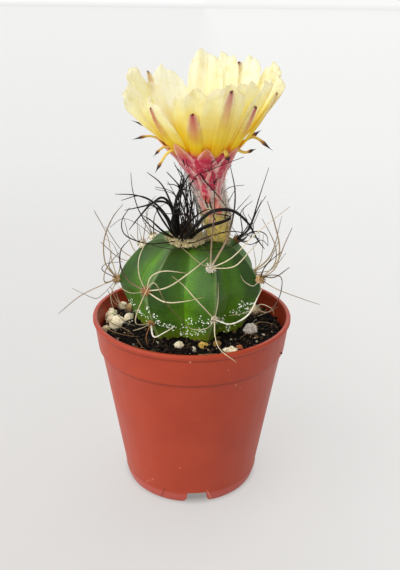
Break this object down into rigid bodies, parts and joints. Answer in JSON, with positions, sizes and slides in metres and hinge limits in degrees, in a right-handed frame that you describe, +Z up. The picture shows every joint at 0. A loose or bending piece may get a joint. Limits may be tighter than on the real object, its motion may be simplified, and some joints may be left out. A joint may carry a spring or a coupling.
{
  "type": "goats horn cactus in flower in a nursery pot",
  "caption": "Ribbed globular cactus with long bent spines and one yellow flower, rooted in gritty soil in a plastic nursery pot.",
  "frame": {"origin": "on the pot's axis, on the surface that the pot stands on", "axes": "+Z up along the pot's axis, -Y to the side seen in the picture, +X to its right"},
  "size_m": [0.1154, 0.0924, 0.183],
  "materials": {
    "pot": "satin terracotta-coloured thermoformed plastic",
    "soil": "dark crumbly potting soil",
    "perlite": "dull white porous grains",
    "grit": "dull tan and brown gravel",
    "stone": "dull grey gravel",
    "skin": "waxy green plant skin with fine white flecks",
    "wool": "matted plant wool",
    "spine": "dry papery spines, tan to dark brown",
    "black_spine": "satin black-brown spines",
    "tube": "soft crimson flower tube with pale wool",
    "petal": "thin silky pale yellow petals",
    "stamen": "yellow filaments and powdery anthers",
    "style": "soft pale yellow"
  },
  "bodies": {
    "root": {"pot": "pot", "stem": "skin", "soil": "soil", "crown": "black_spine", "bud": "wool", "areole_rib1_mid": "spine", "areole_rib2_mid": "spine", "areole_rib2_low": "spine", "areole_rib3_mid": "spine", "areole_rib3_low": "spine", "areole_rib4_mid": "spine", "areole_rib4_low": "spine", "areole_rib5_mid": "spine", "areole_rib6_mid": "spine", "areole_rib7_mid": "spine", "areole_rib1_top": "spine", "areole_rib1_low": "spine", "areole_rib5_low": "spine", "areole_rib6_low": "spine", "areole_rib7_low": "spine", "flower_tube": "tube", "petals": "petal", "stamens": "stamen", "style": "style", "perlite_left": "perlite", "perlite_far_left": "perlite", "perlite_back": "perlite", "perlite_round": "perlite", "grit_rim": "grit", "perlite_front": "perlite", "grit_front_small": "grit", "grit_front_yellow": "grit", "grit_front_brown": "grit", "perlite_front_right": "perlite", "grit_right": "grit", "stone_right": "stone", "grit_back_right": "grit"}
  },
  "joints": []
}
